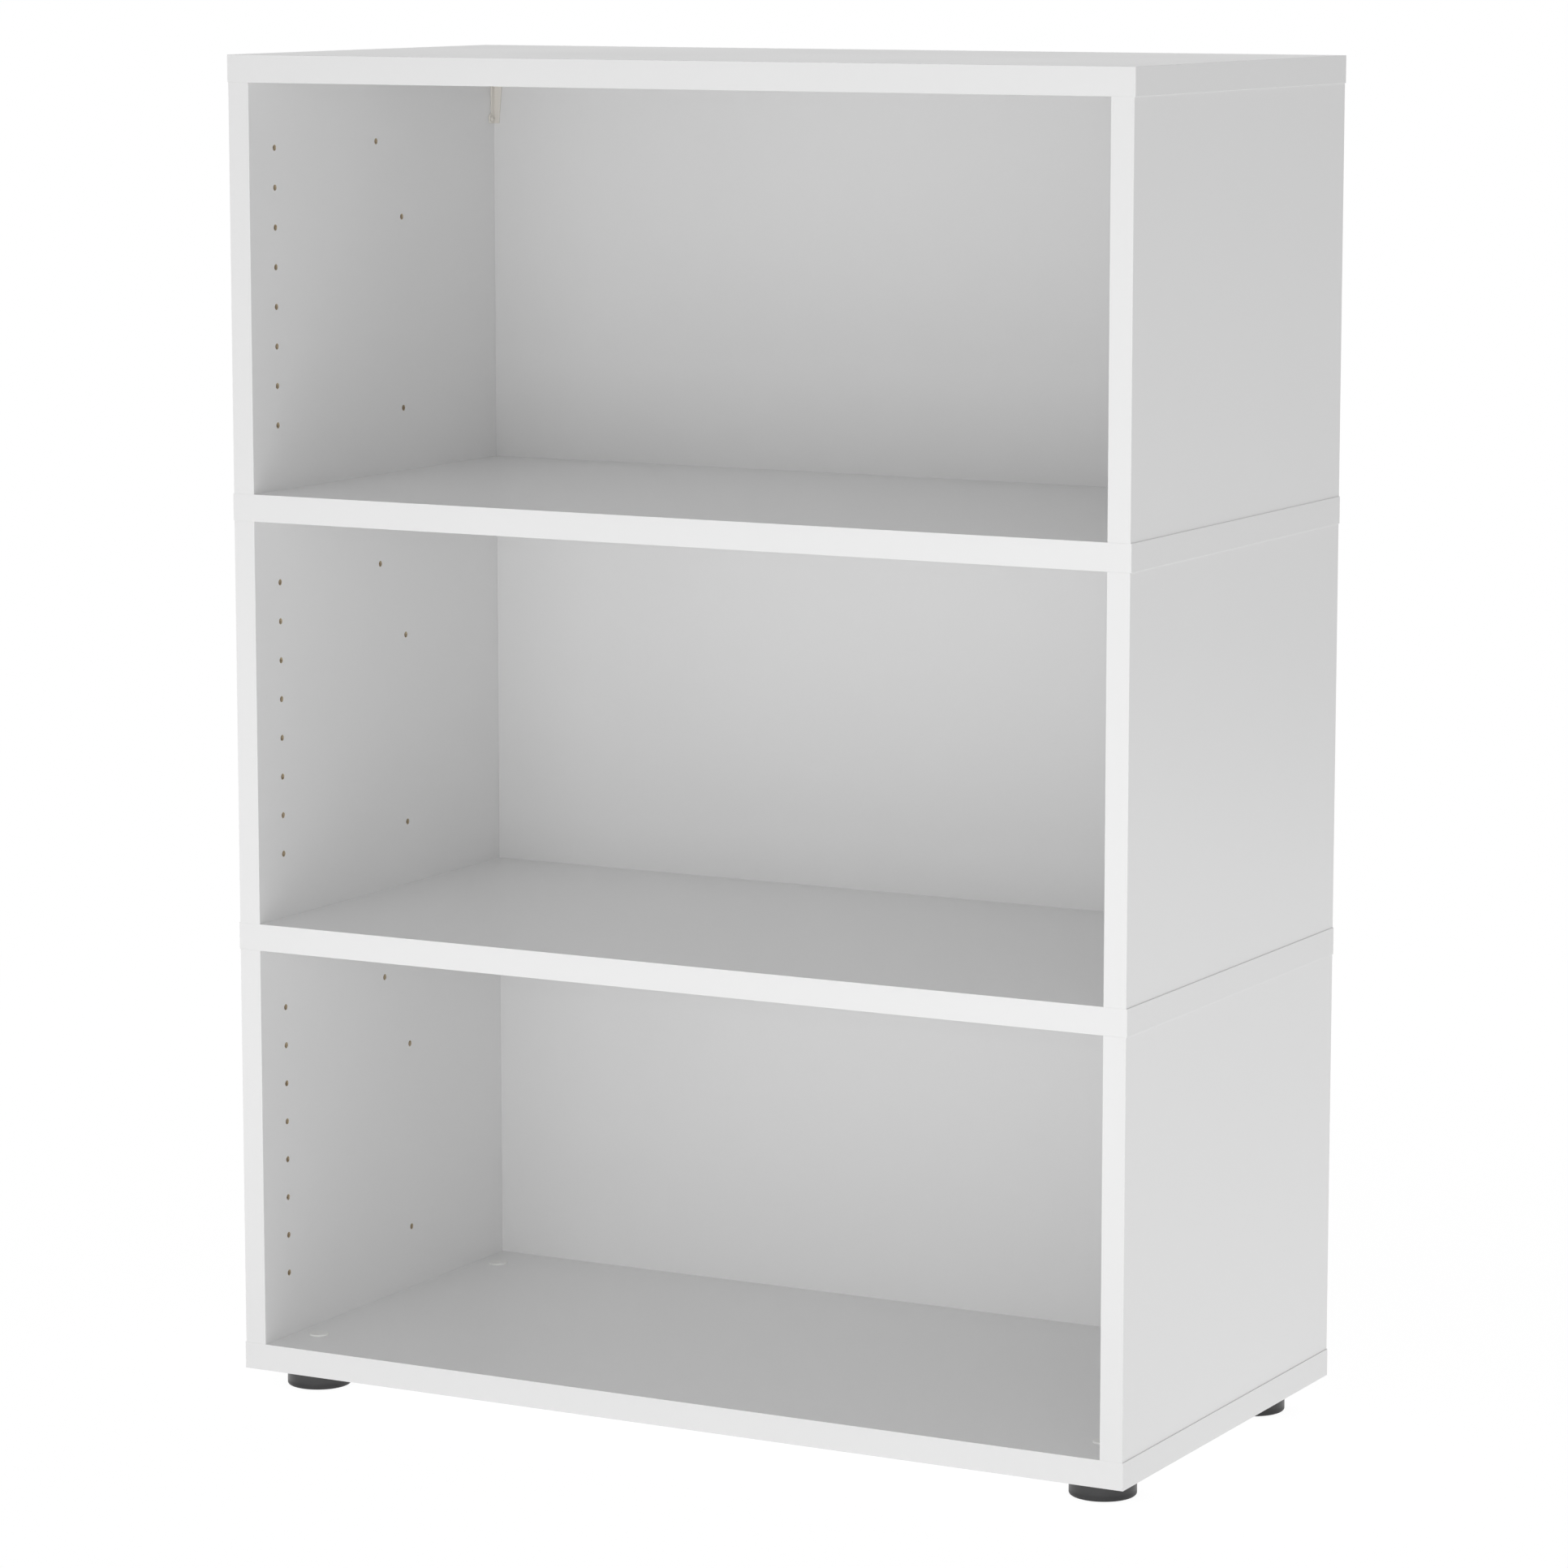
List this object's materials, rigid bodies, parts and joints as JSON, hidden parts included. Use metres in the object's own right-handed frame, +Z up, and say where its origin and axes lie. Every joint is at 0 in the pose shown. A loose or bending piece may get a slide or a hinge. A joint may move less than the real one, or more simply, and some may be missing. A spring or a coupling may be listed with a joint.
{
  "type": "open bookcase",
  "caption": "Open white bookcase with equal stacked compartments, rows of shelf pin holes, thin back panels and round screw feet under caps.",
  "frame": {"origin": "on the floor, under the middle of the boards", "axes": "+Z up, +X to the right seen from the front, -Y out of the open front, +Y to the back panels"},
  "size_m": [0.798, 0.4, 1.097],
  "materials": {
    "white_melamine_board": "satin white melamine face on chipboard",
    "white_edge_band": "satin white plastic edge band",
    "white_back_board": "matte white lacquered hardboard",
    "beech_dowel": "raw beech",
    "black_foot_plastic": "satin black moulded plastic",
    "zinc_plated_spindle": "zinc plated steel",
    "zinc_plated_sleeve": "zinc plated steel",
    "white_cap_plastic": "white moulded plastic",
    "cream_bracket_plastic": "cream moulded plastic",
    "cream_screw_steel": "cream lacquered steel"
  },
  "bodies": {
    "carcass": {"bottom_board": "white_melamine_board", "bottom_board_edge_bands": "white_edge_band", "bottom_dowels": "beech_dowel", "bracket_screws": "cream_screw_steel", "front_left_foot_sleeve": "zinc_plated_sleeve", "front_right_foot_sleeve": "zinc_plated_sleeve", "left_corner_bracket": "cream_bracket_plastic", "lower_back_panel": "white_back_board", "lower_left_side": "white_melamine_board", "lower_left_side_edge_bands": "white_edge_band", "lower_right_side": "white_melamine_board", "lower_right_side_edge_bands": "white_edge_band", "lower_shelf_board": "white_melamine_board", "lower_shelf_board_edge_bands": "white_edge_band", "lower_shelf_dowels": "beech_dowel", "middle_back_panel": "white_back_board", "middle_left_side": "white_melamine_board", "middle_left_side_edge_bands": "white_edge_band", "middle_right_side": "white_melamine_board", "middle_right_side_edge_bands": "white_edge_band", "rear_left_foot_sleeve": "zinc_plated_sleeve", "rear_right_foot_sleeve": "zinc_plated_sleeve", "right_corner_bracket": "cream_bracket_plastic", "top_board": "white_melamine_board", "top_board_edge_bands": "white_edge_band", "top_dowels": "beech_dowel", "upper_back_panel": "white_back_board", "upper_left_side": "white_melamine_board", "upper_left_side_edge_bands": "white_edge_band", "upper_right_side": "white_melamine_board", "upper_right_side_edge_bands": "white_edge_band", "upper_shelf_board": "white_melamine_board", "upper_shelf_board_edge_bands": "white_edge_band", "upper_shelf_dowels": "beech_dowel"},
    "front_left_foot": {"front_left_foot_pad": "black_foot_plastic"},
    "front_left_screw": {"front_left_foot_spindle": "zinc_plated_spindle"},
    "front_left_cap": {"front_left_foot_cap": "white_cap_plastic"},
    "front_right_foot": {"front_right_foot_pad": "black_foot_plastic"},
    "front_right_screw": {"front_right_foot_spindle": "zinc_plated_spindle"},
    "front_right_cap": {"front_right_foot_cap": "white_cap_plastic"},
    "rear_left_foot": {"rear_left_foot_pad": "black_foot_plastic"},
    "rear_left_screw": {"rear_left_foot_spindle": "zinc_plated_spindle"},
    "rear_left_cap": {"rear_left_foot_cap": "white_cap_plastic"},
    "rear_right_foot": {"rear_right_foot_pad": "black_foot_plastic"},
    "rear_right_screw": {"rear_right_foot_spindle": "zinc_plated_spindle"},
    "rear_right_cap": {"rear_right_foot_cap": "white_cap_plastic"}
  },
  "joints": [
    {"name": "front_left_foot_height", "type": "slide", "parent": "carcass", "child": "front_left_foot", "axis": [0, 0, -1], "range_m": [0, 0.01]},
    {"name": "front_left_screw_turn", "type": "hinge", "parent": "front_left_foot", "child": "front_left_screw", "pos_m": [-0.359, -0.15, 0.02], "axis": [0, 0, -1], "range_deg": [0, 2401]},
    {"name": "front_left_cap_lift", "type": "slide", "parent": "carcass", "child": "front_left_cap", "axis": [0, 0, 1], "range_m": [0, 0.03]},
    {"name": "front_right_foot_height", "type": "slide", "parent": "carcass", "child": "front_right_foot", "axis": [0, 0, -1], "range_m": [0, 0.01]},
    {"name": "front_right_screw_turn", "type": "hinge", "parent": "front_right_foot", "child": "front_right_screw", "pos_m": [0.359, -0.15, 0.02], "axis": [0, 0, -1], "range_deg": [0, 2401]},
    {"name": "front_right_cap_lift", "type": "slide", "parent": "carcass", "child": "front_right_cap", "axis": [0, 0, 1], "range_m": [0, 0.03]},
    {"name": "rear_left_foot_height", "type": "slide", "parent": "carcass", "child": "rear_left_foot", "axis": [0, 0, -1], "range_m": [0, 0.01]},
    {"name": "rear_left_screw_turn", "type": "hinge", "parent": "rear_left_foot", "child": "rear_left_screw", "pos_m": [-0.359, 0.138, 0.02], "axis": [0, 0, -1], "range_deg": [0, 2401]},
    {"name": "rear_left_cap_lift", "type": "slide", "parent": "carcass", "child": "rear_left_cap", "axis": [0, 0, 1], "range_m": [0, 0.03]},
    {"name": "rear_right_foot_height", "type": "slide", "parent": "carcass", "child": "rear_right_foot", "axis": [0, 0, -1], "range_m": [0, 0.01]},
    {"name": "rear_right_screw_turn", "type": "hinge", "parent": "rear_right_foot", "child": "rear_right_screw", "pos_m": [0.359, 0.138, 0.02], "axis": [0, 0, -1], "range_deg": [0, 2401]},
    {"name": "rear_right_cap_lift", "type": "slide", "parent": "carcass", "child": "rear_right_cap", "axis": [0, 0, 1], "range_m": [0, 0.03]}
  ],
  "couplings": [
    {"joint": "front_left_screw_turn", "follows": "front_left_foot_height", "rad_per_m": 4188.8},
    {"joint": "front_right_screw_turn", "follows": "front_right_foot_height", "rad_per_m": 4188.8},
    {"joint": "rear_left_screw_turn", "follows": "rear_left_foot_height", "rad_per_m": 4188.8},
    {"joint": "rear_right_screw_turn", "follows": "rear_right_foot_height", "rad_per_m": 4188.8}
  ]
}
